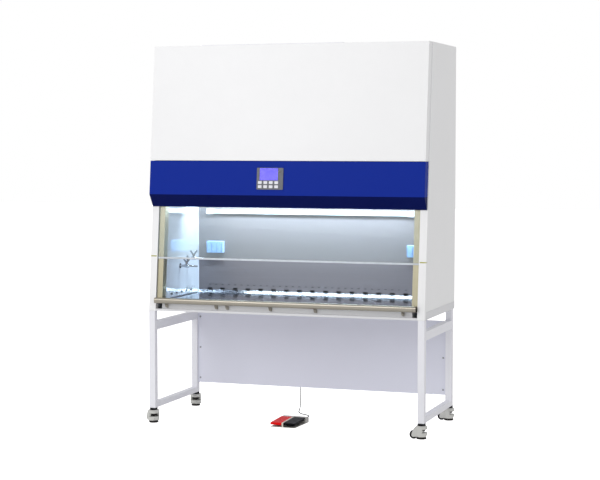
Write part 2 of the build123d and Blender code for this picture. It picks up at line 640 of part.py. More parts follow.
with BuildPart() as work_surface:
    with BuildSketch(Plane.XY.offset(TRAY_BASE)):
        with Locations((0, TRAY_FRONT + TRAY_DEPTH / 2)):
            Rectangle(2 * TRAY_HALF, TRAY_DEPTH)
    extrude(amount=TRAY_SINK + PAN_SHEET)
    with BuildSketch(Plane.XY.offset(WORK_Z)):
        with Locations((0, TRAY_FRONT + TRAY_DEPTH / 2)):
            RectangleRounded(2 * (TRAY_HALF - TRAY_RIM), TRAY_DEPTH - 2 * TRAY_RIM, 14)
    extrude(amount=-TRAY_SINK, mode=Mode.SUBTRACT)
work_surface.part.label = "work_surface"
export_step(work_surface.part, "parts/work_surface.step")

with BuildPart() as intake_grille:
    block(-TRAY_HALF, TRAY_HALF, GRILLE_FRONT, GRILLE_FRONT + GRILLE_DEPTH, WORK_Z - PAN_SHEET, WORK_Z)
    block(-TRAY_HALF, TRAY_HALF, GRILLE_FRONT, GRILLE_FRONT + PAN_SHEET, UPSTAND_TOP - 20, WORK_Z)
    with BuildSketch(Plane.XY.offset(WORK_Z)):
        with Locations((0, GRILLE_FRONT + GRILLE_DEPTH / 2 + 3)):
            with GridLocations(34, 0, 44, 1):
                Rectangle(8, 42)
    extrude(amount=-PAN_SHEET, mode=Mode.SUBTRACT)
intake_grille.part.label = "intake_grille"
export_step(intake_grille.part, "parts/intake_grille.step")

# Armrest: a rounded stainless rail in front of the opening, on brackets from the pan's recess
ARMREST_HALF = MID_HALF - ARMREST_END_GAP
ARMREST_Z = BASE + ARMREST_TOP
ARMREST_FRONT = FRONT - ARMREST_REACH

with BuildPart() as armrest:
    with BuildSketch(Plane.YZ.offset(-ARMREST_HALF)):
        with Locations((ARMREST_FRONT + ARMREST_DEPTH / 2, ARMREST_Z - ARMREST_HEIGHT / 2)):
            RectangleRounded(ARMREST_DEPTH, ARMREST_HEIGHT, ARMREST_ROUND)
            RectangleRounded(ARMREST_DEPTH - 2 * SHEET, ARMREST_HEIGHT - 2 * SHEET, ARMREST_ROUND - SHEET,
                             mode=Mode.SUBTRACT)
    extrude(amount=2 * ARMREST_HALF)
    for x in BRACKET_PLACES:
        across([(FRONT - ARMREST_REACH / 3, ARMREST_Z - ARMREST_HEIGHT + SHEET / 2),
                (FRONT + 4, BASE + LIP_HEIGHT + 12), (UPSTAND_FRONT - FIT, BASE + LIP_HEIGHT + 6),
                (UPSTAND_FRONT - FIT, ARMREST_Z - ARMREST_HEIGHT - 4),
                (ARMREST_FRONT + ARMREST_DEPTH - 14, ARMREST_Z - ARMREST_HEIGHT + SHEET / 2)],
               x - BRACKET_WIDTH / 2, x + BRACKET_WIDTH / 2)
armrest.part.label = "armrest"
export_step(armrest.part, "parts/armrest.step")

# Sash: toughened glass that runs in the columns' grooves, with a grip strip along its lower edge
SASH_Z = BASE + SASH_REST
GLASS_MIDDLE = GLASS_SETBACK + GLASS_THICKNESS / 2

with BuildPart() as sash_glass:
    across(leaning_strip(GLASS_SETBACK, GLASS_SETBACK + GLASS_THICKNESS,
                         SASH_Z + SASH_EDGE_HEIGHT / 2, SASH_Z + GLASS_HEIGHT), -GLASS_HALF, GLASS_HALF)
sash_glass.part.label = "sash_glass"
export_step(sash_glass.part, "parts/sash_glass.step")

with BuildPart() as sash_edge:
    edge_half = MID_HALF - 1.0
    across(leaning_strip(GLASS_MIDDLE - SASH_EDGE_DEPTH / 2, GLASS_MIDDLE + SASH_EDGE_DEPTH / 2,
                         SASH_Z, SASH_Z + SASH_EDGE_HEIGHT), -edge_half, edge_half)
    across(leaning_strip(GLASS_SETBACK, GLASS_SETBACK + GLASS_THICKNESS,
                         SASH_Z + SASH_EDGE_HEIGHT / 2, SASH_Z + SASH_EDGE_HEIGHT + 1),
           -HALF_WIDTH, HALF_WIDTH, Mode.SUBTRACT)
sash_edge.part.label = "sash_edge"
export_step(sash_edge.part, "parts/sash_edge.step")

# Supply filter on the diffuser: a frame with a media pack
FILTER_Z = CEILING_Z + PAN_SHEET
FILTER_HALF = CHAMBER_HALF - 20
FILTER_Y0 = REAR_WALL - FILTER_DEPTH
PLENUM_Z = FILTER_Z + FILTER_HEIGHT


def filter_element(x, y, z, width, depth, height):
    """Filter cartridge: a rectangular frame with a flat pack of media in it."""
    with BuildPart() as cartridge:
        with BuildSketch(Plane.XY.offset(z)):
            with Locations((x, y)):
                Rectangle(width, depth)
                Rectangle(width - 2 * FILTER_FRAME, depth - 2 * FILTER_FRAME, mode=Mode.SUBTRACT)
        extrude(amount=height)
        with BuildSketch(Plane.XY.offset(z + (height - FILTER_MEDIA) / 2)):
            with Locations((x, y)):
                Rectangle(width - FILTER_FRAME, depth - FILTER_FRAME)
        extrude(amount=FILTER_MEDIA)
    return cartridge


supply_filter = filter_element(0, FILTER_Y0 + FILTER_DEPTH / 2, FILTER_Z, 2 * FILTER_HALF, FILTER_DEPTH,
                               FILTER_HEIGHT)
supply_filter.part.label = "supply_filter"
export_step(supply_filter.part, "parts/supply_filter.step")

# Plenum box on the filter, open below, with the blower's outlet in its roof
BLOWER_Y = FILTER_Y0 + FILTER_DEPTH / 2
PLENUM_TOP = PLENUM_Z + PLENUM_HEIGHT
OUTLET_WIDTH = SCROLL_WIDTH
OUTLET_DEPTH = 110.0

with BuildPart() as plenum_box:
    block(-FILTER_HALF, FILTER_HALF, FILTER_Y0, FILTER_Y0 + FILTER_DEPTH, PLENUM_Z, PLENUM_TOP)
    offset(amount=-SHEET, openings=plenum_box.faces().sort_by(Axis.Z)[0])
    block(-OUTLET_WIDTH / 2, OUTLET_WIDTH / 2, BLOWER_Y, BLOWER_Y + OUTLET_DEPTH,
          PLENUM_TOP - SHEET, PLENUM_TOP, Mode.SUBTRACT)
plenum_box.part.label = "plenum_box"
export_step(plenum_box.part, "parts/plenum_box.step")

# Centrifugal blower on the plenum: a scroll with round inlets, a spider bearing each side and an impeller
BLOWER_Z = PLENUM_TOP + SCROLL_RADIUS + 4
HALF_SCROLL = SCROLL_WIDTH / 2

with BuildPart() as blower_housing:
    with BuildSketch(Plane.YZ.offset(-HALF_SCROLL)):
        with Locations((BLOWER_Y, BLOWER_Z)):
            Circle(SCROLL_RADIUS)
        with Locations((BLOWER_Y + (OUTLET_DEPTH + 8) / 2, (PLENUM_TOP + BLOWER_Z) / 2)):
            Rectangle(OUTLET_DEPTH + 8, BLOWER_Z - PLENUM_TOP)
    extrude(amount=SCROLL_WIDTH)
    offset(amount=-SHEET, openings=blower_housing.faces().sort_by(Axis.Z)[0])
    with BuildSketch(Plane.YZ.offset(-HALF_SCROLL - 1)):
        with Locations((BLOWER_Y, BLOWER_Z)):
            Circle(IMPELLER_RADIUS - 14)
            Circle(SHAFT_RADIUS + 9, mode=Mode.SUBTRACT)
            Rectangle(2 * IMPELLER_RADIUS, 10, mode=Mode.SUBTRACT)
    extrude(amount=SCROLL_WIDTH + 2, mode=Mode.SUBTRACT)
    with BuildSketch(Plane.YZ.offset(-HALF_SCROLL - 1)):
        with Locations((BLOWER_Y, BLOWER_Z)):
            Circle(SHAFT_RADIUS + RUNNING_FIT)
    extrude(amount=SCROLL_WIDTH + 2, mode=Mode.SUBTRACT)
blower_housing.part.label = "blower_housing"
export_step(blower_housing.part, "parts/blower_housing.step")

HALF_IMPELLER = IMPELLER_WIDTH / 2

with BuildPart() as blower_impeller:
    with BuildSketch(Plane.YZ.offset(-HALF_SCROLL)):
        with Locations((BLOWER_Y, BLOWER_Z)):
            Circle(SHAFT_RADIUS)
    extrude(amount=SCROLL_WIDTH)
    with BuildSketch(Plane.YZ.offset(-3)):
        with Locations((BLOWER_Y, BLOWER_Z)):
            Circle(IMPELLER_RADIUS)
    extrude(amount=6)
    with BuildSketch(Plane.YZ.offset(-HALF_IMPELLER)):
        with Locations((BLOWER_Y, BLOWER_Z)):
            with PolarLocations(IMPELLER_RADIUS - 9, IMPELLER_BLADES):
                Rectangle(16, 2, rotation=35)
    extrude(amount=IMPELLER_WIDTH)
blower_impeller.part.label = "blower_impeller"
export_step(blower_impeller.part, "parts/blower_impeller.step")

# Exhaust filter under the top panel and a low guard over its opening
exhaust_filter = filter_element(EXHAUST_X, EXHAUST_Y, TOP - SHEET - EXHAUST_FILTER_HEIGHT,
                                EXHAUST_WIDTH, EXHAUST_DEPTH, EXHAUST_FILTER_HEIGHT)
exhaust_filter.part.label = "exhaust_filter"
export_step(exhaust_filter.part, "parts/exhaust_filter.step")

with BuildPart() as exhaust_guard:
    with BuildSketch(Plane.XY.offset(TOP)):
        with Locations((EXHAUST_X, EXHAUST_Y)):
            Rectangle(EXHAUST_WIDTH, EXHAUST_DEPTH)
            Rectangle(EXHAUST_WIDTH - 2 * GUARD_BAR, EXHAUST_DEPTH - 2 * GUARD_BAR, mode=Mode.SUBTRACT)
    extrude(amount=GUARD_HEIGHT)
    with BuildSketch(Plane.XY.offset(TOP + GUARD_HEIGHT - GUARD_BAR)):
        with Locations((EXHAUST_X, EXHAUST_Y)):
            with GridLocations(GUARD_PITCH, 0, int(EXHAUST_WIDTH / GUARD_PITCH), 1):
                Rectangle(GUARD_BAR, EXHAUST_DEPTH)
            with GridLocations(0, GUARD_PITCH, 1, int(EXHAUST_DEPTH / GUARD_PITCH)):
                Rectangle(EXHAUST_WIDTH, GUARD_BAR)
    extrude(amount=GUARD_BAR)
exhaust_guard.part.label = "exhaust_guard"
export_step(exhaust_guard.part, "parts/exhaust_guard.step")

# Lamps: one on the chamber's rear wall, one in the hollow of the control band
UV_Y = REAR_WALL - UV_LAMP_STANDOFF
UV_Z = BASE + UV_LAMP_RISE
WORK_LAMP_Z = BASE + WORK_LAMP_RISE
WORK_LAMP_Y = lean_y(WORK_LAMP_Z, COVER_PROUD / 2)


def lamp_tube(x, y, z, length):
    """Glass lamp tube along X."""
    with BuildPart() as tube:
        with BuildSketch(Plane.YZ.offset(x - length / 2)):
            with Locations((y, z)):
                Circle(LAMP_RADIUS)
        extrude(amount=length)
    return tube


def lamp_holder(x, y, z, back_low, back_high):
    """Lamp holder: a rounded block that reaches from the tube's end to the surface behind it."""
    low, high = z - LAMP_RADIUS, z + LAMP_RADIUS
    with BuildPart() as holder:
        with BuildSketch(Plane.YZ.offset(x - HOLDER_LENGTH / 2)):
            with Locations((y, z)):
                Circle(LAMP_RADIUS + 5)
            with BuildLine():
                Polyline((y, low), (back_low, low), (back_high, high), (y, high), close=True)
            make_face()
        extrude(amount=HOLDER_LENGTH)
    return holder


save("lamp_tubes", lamp_tube(UV_LAMP_X, UV_Y, UV_Z, UV_LAMP_LENGTH).part,
     lamp_tube(0, WORK_LAMP_Y, WORK_LAMP_Z, WORK_LAMP_LENGTH).part)
uv_reach = (UV_LAMP_LENGTH + HOLDER_LENGTH) / 2
work_reach = (WORK_LAMP_LENGTH + HOLDER_LENGTH) / 2
band_inner = COVER_PROUD - SHEET / cos(LEAN) - RUNNING_FIT
band_back = [lean_y(WORK_LAMP_Z + step, band_inner) for step in (-LAMP_RADIUS, LAMP_RADIUS)]
save("lamp_holders",
     *[lamp_holder(UV_LAMP_X + end * uv_reach, UV_Y, UV_Z, REAR_WALL, REAR_WALL).part for end in (-1, 1)],
     *[lamp_holder(end * work_reach, WORK_LAMP_Y, WORK_LAMP_Z, *band_back).part for end in (-1, 1)])

# Splash-proof sockets on the rear wall, each with a hinged flap
SOCKET_Z = BASE + SOCKET_RISE
FLAP_MARGIN = 2.0
SOCKET_FACE = REAR_WALL - SOCKET_DEPTH


def socket_box(x):
    """Socket box with three recessed outlets."""
    with BuildPart() as box:
        with BuildSketch(Plane.XZ.offset(-REAR_WALL)):
            with Locations((x, SOCKET_Z)):
                RectangleRounded(SOCKET_WIDTH, SOCKET_HEIGHT, 5)
        extrude(amount=SOCKET_DEPTH)
        with BuildSketch(Plane.XZ.offset(-SOCKET_FACE)):
            with Locations((x, SOCKET_Z)):
                with GridLocations(SOCKET_WIDTH / 3, 0, 3, 1):
                    Circle(11)
        extrude(amount=-9, mode=Mode.SUBTRACT)
    return box


save("socket_boxes", socket_box(-SOCKET_X).part, socket_box(SOCKET_X).part)
for side, sign in (("left", -1), ("right", 1)):
    with BuildPart() as flap:
        with BuildSketch(Plane.XZ.offset(-(SOCKET_FACE - FIT))):
            with Locations((sign * SOCKET_X, SOCKET_Z)):
                Rectangle(SOCKET_WIDTH - 2 * FLAP_MARGIN, SOCKET_HEIGHT - 2 * FLAP_MARGIN)
        extrude(amount=FLAP_THICKNESS)
        with BuildSketch(Plane.XZ.offset(-(SOCKET_FACE - FIT - FLAP_THICKNESS))):
            with Locations((sign * SOCKET_X, SOCKET_Z)):
                with GridLocations(SOCKET_WIDTH / 3, 0, 2, 1):
                    Rectangle(2.5, SOCKET_HEIGHT)
        extrude(amount=-2, mode=Mode.SUBTRACT)
    flap.part.label = f"socket_flap_{side}"
    export_step(flap.part, f"parts/socket_flap_{side}.step")

# Service cocks on the left wall: flange, valve body with a spindle, and a barbed nozzle
COCK_AXIS_X = -CHAMBER_HALF
SPINDLE_RADIUS = 3.0
SPINDLE_TOP = 30.0
BONNET_TOP = 17.0


def service_cock(y, z):
    """Cock turned about its X axis, with the spindle standing up from the valve body."""
    out = [(0, 0), (0, 15), (4, 15), (5, 8), (COCK_STEM_OUT - 13, 8), (COCK_STEM_OUT - 11, 11),
           (COCK_STEM_OUT + 11, 11), (COCK_STEM_OUT + 14, 7)]
    barb = COCK_STEM_OUT + 20
    while barb < COCK_LENGTH - 8:
        out += [(barb, 4.2), (barb + 1.5, 6.2)]
        barb += 8
    out += [(COCK_LENGTH, 3.6), (COCK_LENGTH, 0)]
    with BuildPart() as cock:
        with BuildSketch(Plane(origin=(COCK_AXIS_X, y, z), x_dir=(1, 0, 0), z_dir=(0, -1, 0))):
            with BuildLine():
                Polyline(*out, close=True)
            make_face()
        revolve(axis=Axis((COCK_AXIS_X, y, z), (1, 0, 0)))
        with BuildSketch(Plane.XY.offset(z)):
            with Locations((COCK_AXIS_X + COCK_STEM_OUT, y)):
                Circle(7.5)
        extrude(amount=BONNET_TOP)
        with BuildSketch(Plane.XY.offset(z)):
            with Locations((COCK_AXIS_X + COCK_STEM_OUT, y)):
                Circle(SPINDLE_RADIUS)
        extrude(amount=SPINDLE_TOP)
    return cock


def cock_handle(y, z):
    """Wing handle: a hub that turns on the spindle, with two wings that rise outwards."""
    x = COCK_AXIS_X + COCK_STEM_OUT
    base = z + BONNET_TOP + FIT
    with BuildPart() as handle:
        with BuildSketch(Plane(origin=(x, y, base), x_dir=(1, 0, 0), z_dir=(0, -1, 0))):
            with BuildLine():
                Polyline((-5, 0), (5, 0), (HANDLE_SPAN / 2, 27), (HANDLE_SPAN / 2 - 8, 32), (4, 11),
                         (-4, 11), (-HANDLE_SPAN / 2 + 8, 32), (-HANDLE_SPAN / 2, 27), close=True)
            make_face()
        extrude(amount=3.5, both=True)
        with BuildSketch(Plane.XY.offset(base)):
            with Locations((x, y)):
                Circle(7)
        extrude(amount=12)
        with BuildSketch(Plane.XY.offset(base)):
            with Locations((x, y)):
                Circle(SPINDLE_RADIUS + RUNNING_FIT)
        extrude(amount=SPINDLE_TOP, mode=Mode.SUBTRACT)
    return handle


save("service_cocks", *[service_cock(FRONT + y, BASE + z).part for y, z in COCK_PLACES.values()])
for name, (y, z) in COCK_PLACES.items():
    save(f"cock_handle_{name}", cock_handle(FRONT + y, BASE + z).part)

# Foot switch: a base with a switch box at the back and two hinged pedals, beside each other
switch_floor = Plane(origin=(SWITCH_X, FRONT + SWITCH_Y, 0),
                     x_dir=(cos(radians(SWITCH_TURN)), sin(radians(SWITCH_TURN)), 0), z_dir=(0, 0, 1))
switch_side = Plane(origin=(SWITCH_X, FRONT + SWITCH_Y, 0),
                    x_dir=switch_floor.y_dir, z_dir=switch_floor.x_dir)
HALF_SWITCH = SWITCH_WIDTH / 2
BOX_FRONT = SWITCH_LENGTH / 2 - SWITCH_BOX_LENGTH
PEDAL_FRONT = -SWITCH_LENGTH / 2
PEDAL_REAR = BOX_FRONT - PEDAL_GAP
HINGE_Y = PEDAL_REAR - PEDAL_HINGE_INSET
HINGE_Z = SWITCH_BOX_HEIGHT - PEDAL_HINGE_DROP
PEDAL_INNER = DIVIDER_WIDTH / 2 + PEDAL_GAP
PEDAL_OUTER = HALF_SWITCH - 1.0

with BuildPart() as foot_switch_base:
    with BuildSketch(switch_floor):
        Rectangle(SWITCH_WIDTH, SWITCH_LENGTH)
    extrude(amount=SWITCH_PLATE)
    with BuildSketch(switch_side.offset(-HALF_SWITCH)):
        with BuildLine():
            Polyline((BOX_FRONT, 0), (BOX_FRONT, SWITCH_BOX_HEIGHT - 3), (BOX_FRONT + 3, SWITCH_BOX_HEIGHT),
                     (SWITCH_LENGTH / 2 - 14, SWITCH_BOX_HEIGHT), (SWITCH_LENGTH / 2, SWITCH_BOX_HEIGHT - 12),
                     (SWITCH_LENGTH / 2, 0), close=True)
        make_face()
    extrude(amount=SWITCH_WIDTH)
    with BuildSketch(switch_side.offset(-DIVIDER_WIDTH / 2)):
        with BuildLine():
            Polyline((PEDAL_FRONT, 0), (PEDAL_FRONT, PEDAL_FRONT_HEIGHT - 4), (BOX_FRONT, SWITCH_BOX_HEIGHT - 1),
                     (BOX_FRONT, 0), close=True)
        make_face()
    extrude(amount=DIVIDER_WIDTH)
    with BuildSketch(switch_side.offset(-PEDAL_OUTER)):
        with Locations((HINGE_Y, HINGE_Z)):
            Circle(PEDAL_PIN_RADIUS)
    extrude(amount=2 * PEDAL_OUTER)
    gland_plane = Plane(origin=switch_floor.from_local_coords((SWITCH_GLAND_X, SWITCH_LENGTH / 2, 12)),
                        x_dir=switch_floor.x_dir, z_dir=switch_floor.y_dir)
    with BuildSketch(gland_plane):
        Circle(7)
    extrude(amount=14, taper=8)
foot_switch_base.part.label = "foot_switch_base"
export_step(foot_switch_base.part, "parts/foot_switch_base.step")


def pedal(sign):
    """Pressed pedal: a sloping top with a front skirt and side cheeks that turn on the hinge pin."""
    side_plane = switch_side.offset(sign * PEDAL_INNER)
    top_rear = SWITCH_BOX_HEIGHT + 1
    slope = [(PEDAL_FRONT, PEDAL_FRONT_HEIGHT - PEDAL_SKIRT), (PEDAL_FRONT, PEDAL_FRONT_HEIGHT - 3),
             (PEDAL_FRONT + 4, PEDAL_FRONT_HEIGHT), (PEDAL_REAR, top_rear), (PEDAL_REAR, HINGE_Z - 5),
             (HINGE_Y - 10, HINGE_Z - 5)]
    with BuildPart() as tread:
        with BuildSketch(side_plane):
            with BuildLine():
                Polyline(*slope, close=True)
            make_face()
        extrude(amount=sign * (PEDAL_OUTER - PEDAL_INNER))
        with BuildSketch(side_plane.offset(sign * PEDAL_SHELL)):
            with BuildLine():
                Polyline((PEDAL_FRONT + PEDAL_SHELL, 0), (PEDAL_FRONT + PEDAL_SHELL, PEDAL_FRONT_HEIGHT - 5),
                         (PEDAL_REAR - PEDAL_SHELL, top_rear - PEDAL_SHELL - 0.5), (PEDAL_REAR - PEDAL_SHELL, 0),
                         close=True)
            make_face()
        extrude(amount=sign * (PEDAL_OUTER - PEDAL_INNER - 2 * PEDAL_SHELL), mode=Mode.SUBTRACT)
        with BuildSketch(side_plane.offset(-sign)):
            with Locations((HINGE_Y, HINGE_Z)):
                Circle(PEDAL_PIN_RADIUS + RUNNING_FIT)
        extrude(amount=sign * (PEDAL_OUTER - PEDAL_INNER + 2), mode=Mode.SUBTRACT)
    return tread


red_pedal = pedal(-1)
red_pedal.part.label = "red_pedal"
export_step(red_pedal.part, "parts/red_pedal.step")
black_pedal = pedal(1)
black_pedal.part.label = "black_pedal"
export_step(black_pedal.part, "parts/black_pedal.step")

# Foot switch cable: from a gland under the body, down behind the back panel and along the floor
CABLE_X = -132.0
CABLE_Y = REAR - 14.0
gland_exit = BASE - 16.0
switch_entry = gland_plane.from_local_coords((0, 0, 14 + RUNNING_FIT))
approach = gland_plane.from_local_coords((0, 0, 38))
CABLE_ROUTE = [
    (CABLE_X, CABLE_Y, gland_exit),
    (CABLE_X, CABLE_Y - 1, gland_exit - 70),
    (CABLE_X + 3, CABLE_Y - 3, gland_exit - 150),
    (CABLE_X + 5, CABLE_Y - 2, gland_exit - 235),
    (CABLE_X + 3, CABLE_Y + 1, gland_exit - 320),
    (CABLE_X - 1, CABLE_Y + 2, gland_exit - 405),
    (CABLE_X - 3, CABLE_Y, gland_exit - 490),
    (CABLE_X - 2, CABLE_Y - 2, gland_exit - 565),
    (CABLE_X + 1, CABLE_Y - 4, 36.0),
    (CABLE_X + 2, CABLE_Y - 30, 5.0),
    (CABLE_X + 14, CABLE_Y - 84, CABLE_RADIUS + 0.4),
    (CABLE_X + 48, CABLE_Y - 136, CABLE_RADIUS + 0.2),
    (CABLE_X + 98, CABLE_Y - 168, CABLE_RADIUS + 0.4),
    (CABLE_X + 130, CABLE_Y - 206, CABLE_RADIUS + 0.2),
    (CABLE_X + 126, CABLE_Y - 251, CABLE_RADIUS + 0.3),
    (CABLE_X + 102, CABLE_Y - 281, CABLE_RADIUS + 0.3),
    (CABLE_X + 88, CABLE_Y - 316, 5.5),
    tuple(approach),
    tuple(switch_entry),
]


def arc_radii(route):
    """Radius at each corner: as large as its two runs allow."""
    radii = []
    points = [Vector(*point) for point in route]
    for before, here, after in zip(points, points[1:], points[2:]):
        turn = (here - before).get_angle(after - here)
        shorter = min((here - before).length, (after - here).length)
        radii.append(0.45 * shorter / tan(radians(turn) / 2))
    return radii


CABLE_RADII = arc_radii(CABLE_ROUTE)
with BuildPart() as foot_switch_cable:
    with BuildLine() as cable_path:
        FilletPolyline(*CABLE_ROUTE, radius=CABLE_RADII)
    with BuildSketch(Plane(origin=CABLE_ROUTE[0], z_dir=(0, 0, -1))):
        Circle(CABLE_RADIUS)
    sweep()
foot_switch_cable.part.label = "foot_switch_cable"
export_step(foot_switch_cable.part, "parts/foot_switch_cable.step")
print("cable radii", [round(radius, 1) for radius in CABLE_RADII])
cable_length = sum(edge.length for edge in cable_path.edges())
print("cable length", round(cable_length, 1), "volume share",
      round(foot_switch_cable.part.volume / (cable_length * pi * CABLE_RADIUS ** 2), 4))

# Fasteners: bolts of the back panel, screws of the rear panel and the cable's gland under the body
HEAD_RADIUS = 6.0
HEAD_HEIGHT = 3.0

with BuildPart() as fasteners:
    with BuildSketch(Plane.XZ.offset(-BACK_PANEL_Y)):
        with Locations((0, BACK_PANEL_BASE + BACK_PANEL_HEIGHT / 2)):
            with GridLocations(2 * (BACK_PANEL_HALF - 16), (BACK_PANEL_HEIGHT - 60) / 2, 2, 3):
                Circle(HEAD_RADIUS)
    extrude(amount=HEAD_HEIGHT, taper=20)
    with BuildSketch(Plane.XZ.offset(-REAR)):
        with Locations((0, (SKIN_BASE + TOP) / 2)):
            with GridLocations(2 * (INNER_HALF - 12), (TOP - SKIN_BASE - 60) / 4, 2, 5):
                Circle(HEAD_RADIUS - 1)
    extrude(amount=-HEAD_HEIGHT + 1, taper=20)
    with BuildSketch(Plane.XY.offset(BASE)):
        with Locations((CABLE_X, CABLE_Y)):
            Circle(GLAND_RADIUS)
    extrude(amount=gland_exit - BASE, taper=10)
fasteners.part.label = "fasteners"
export_step(fasteners.part, "parts/fasteners.step")
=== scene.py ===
import json
import math

import bmesh
import bpy
from mathutils import Matrix, Vector


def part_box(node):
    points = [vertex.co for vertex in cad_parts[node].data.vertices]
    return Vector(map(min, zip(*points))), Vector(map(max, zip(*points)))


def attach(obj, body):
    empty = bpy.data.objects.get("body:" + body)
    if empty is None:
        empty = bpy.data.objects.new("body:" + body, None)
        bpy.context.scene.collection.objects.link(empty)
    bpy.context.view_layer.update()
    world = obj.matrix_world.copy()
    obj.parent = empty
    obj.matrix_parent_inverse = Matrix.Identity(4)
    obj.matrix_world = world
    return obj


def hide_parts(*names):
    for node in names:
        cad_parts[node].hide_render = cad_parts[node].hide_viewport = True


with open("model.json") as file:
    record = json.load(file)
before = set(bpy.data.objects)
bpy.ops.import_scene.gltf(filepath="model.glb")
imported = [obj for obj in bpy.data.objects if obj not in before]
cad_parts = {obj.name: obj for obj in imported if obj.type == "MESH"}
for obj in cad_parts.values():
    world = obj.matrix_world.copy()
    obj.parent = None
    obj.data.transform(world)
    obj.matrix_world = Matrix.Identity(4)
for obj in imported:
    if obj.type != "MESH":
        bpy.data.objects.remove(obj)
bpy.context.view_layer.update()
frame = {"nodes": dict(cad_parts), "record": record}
node_body = {n: body for body, names in frame["record"]["behaviour"]["bodies"].items() for n in names}
scene = bpy.context.scene

# Places on the cabinet, in metres, from the frame
side_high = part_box("right_side_panel")[1]
base_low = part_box("base_pan")[0]
wall_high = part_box("chamber_walls")[1]
tray_low, tray_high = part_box("work_surface")
rear_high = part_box("rear_panel")[1]
LEAN = math.radians(5.8)
FRONT_Y = base_low.y
BASE_Z = base_low.z
SIDE_X = side_high.x
CHAMBER_HALF = wall_high.x
BAND_FOLD = 0.696
BAND_FOLD_Z = BASE_Z + BAND_FOLD
CORNERS = ("front_left", "front_right", "rear_left", "rear_right")


def lean_y(z, proud=0.0):
    """Y of the leaning front plane at a height, moved towards the user by proud."""
    return FRONT_Y + (z - BASE_Z) * math.tan(LEAN) - proud


def sheet_colour(red, green, blue):
    """Colour given as it looks on a screen, 0 to 255, as the shader wants it."""
    channels = [value / 255 for value in (red, green, blue)]
    linear = [c / 12.92 if c <= 0.04045 else ((c + 0.055) / 1.055) ** 2.4 for c in channels]
    return (*linear, 1.0)


# Materials


class Finish:
    """One procedural material on object coordinates, built up step by step."""

    def __init__(self, name, colour, roughness, metallic=0.0, specular=0.5):
        self.material = bpy.data.materials.new(name)
        self.material.use_nodes = True
        self.tree = self.material.node_tree
        self.shader = self.tree.nodes["Principled BSDF"]
        self.shader.inputs["Base Color"].default_value = colour
        self.shader.inputs["Roughness"].default_value = roughness
        self.shader.inputs["Metallic"].default_value = metallic
        self.shader.inputs["Specular IOR Level"].default_value = specular
        self.colour = colour
        self.roughness = roughness
        self.place = self.tree.nodes.new("ShaderNodeTexCoord").outputs["Object"]
        self.bumps = None

    def link(self, source, target):
        self.tree.links.new(source, target)

    def node(self, kind, **values):
        made = self.tree.nodes.new(kind)
        for key, value in values.items():
            setattr(made, key, value)
        return made

    def stretched(self, scale):
        """Object coordinates with another scale along each axis."""
        mapping = self.node("ShaderNodeMapping")
        mapping.inputs["Scale"].default_value = scale
        self.link(self.place, mapping.inputs["Vector"])
        return mapping.outputs["Vector"]

    def noise(self, scale, detail=2.0, stretch=None):
        """Value from 0 to 1 that varies over the piece."""
        texture = self.node("ShaderNodeTexNoise")
        texture.inputs["Scale"].default_value = scale
        texture.inputs["Detail"].default_value = detail
        self.link(self.stretched(stretch) if stretch else self.place, texture.inputs["Vector"])
        return texture.outputs["Fac"]

    def spread(self, value, low, high, start=0.3, end=0.7):
        """The value's middle range, taken to low and high."""
        scaled = self.node("ShaderNodeMapRange")
        scaled.inputs["From Min"].default_value = start
        scaled.inputs["From Max"].default_value = end
        scaled.inputs["To Min"].default_value = low
        scaled.inputs["To Max"].default_value = high
        self.link(value, scaled.inputs["Value"])
        return scaled.outputs["Result"]

    def mix(self, factor, first, second):
        """Colour between two others, each a value or an output."""
        mixed = self.node("ShaderNodeMix", data_type="RGBA")
        self.link(factor, mixed.inputs["Factor"])
        for socket, colour in ((mixed.inputs[6], first), (mixed.inputs[7], second)):
            if isinstance(colour, tuple):
                socket.default_value = colour
            else:
                self.link(colour, socket)
        return mixed.outputs[2]

    def vary_colour(self, value, other):
        """Base colour drifts towards another one where the value is high."""
        self.link(self.mix(value, self.colour, other), self.shader.inputs["Base Color"])
        return self

    def vary_roughness(self, value, by):
        low, high = max(self.roughness - by, 0.02), min(self.roughness + by, 1.0)
        self.link(self.spread(value, low, high), self.shader.inputs["Roughness"])
        return self

    def bump(self, value, strength, distance):
        relief = self.node("ShaderNodeBump")
        relief.inputs["Strength"].default_value = strength
        relief.inputs["Distance"].default_value = distance
        self.link(value, relief.inputs["Height"])
        if self.bumps is not None:
            self.link(self.bumps, relief.inputs["Normal"])
        self.bumps = relief.outputs["Normal"]
        self.link(self.bumps, self.shader.inputs["Normal"])
        return self

    def axis(self, letter):
        """One of the object coordinates."""
        split = self.node("ShaderNodeSeparateXYZ")
        self.link(self.place, split.inputs[0])
        return split.outputs[letter]

    def maths(self, operation, first, second=None):
        step = self.node("ShaderNodeMath", operation=operation)
        for socket, value in zip(step.inputs, (first, second)):
            if value is None:
                continue
            if isinstance(value, (int, float)):
                socket.default_value = value
            else:
                self.link(value, socket)
        return step.outputs[0]


COAT_DRIFT = 0.975
MID_SHEET = 0.0008


def darker(colour, share):
    """The colour at a share of its lightness, or above one, lighter."""
    return (*[c * share for c in colour[:3]], 1.0)


def coat_tone(finish, colour, other):
    """Colour of a coat that drifts faintly towards another over the sheet."""
    return finish.mix(finish.spread(finish.noise(1.7, 3), 0, 1), colour, other)


def coat_peel(finish, tone):
    """The coat's tone on the shader, with a fine orange peel."""
    finish.link(tone, finish.shader.inputs["Base Color"])
    finish.vary_roughness(finish.noise(26, 3), 0.03)
    finish.bump(finish.noise(620, 1), 0.05, 0.00012)
    return finish


def powder_coat(name, colour, roughness=0.38, specular=0.5):
    """Powder coated sheet: fine orange peel and a faint unevenness of tone."""
    finish = Finish(name, colour, roughness, specular=specular)
    return coat_peel(finish, coat_tone(finish, colour, darker(colour, COAT_DRIFT)))


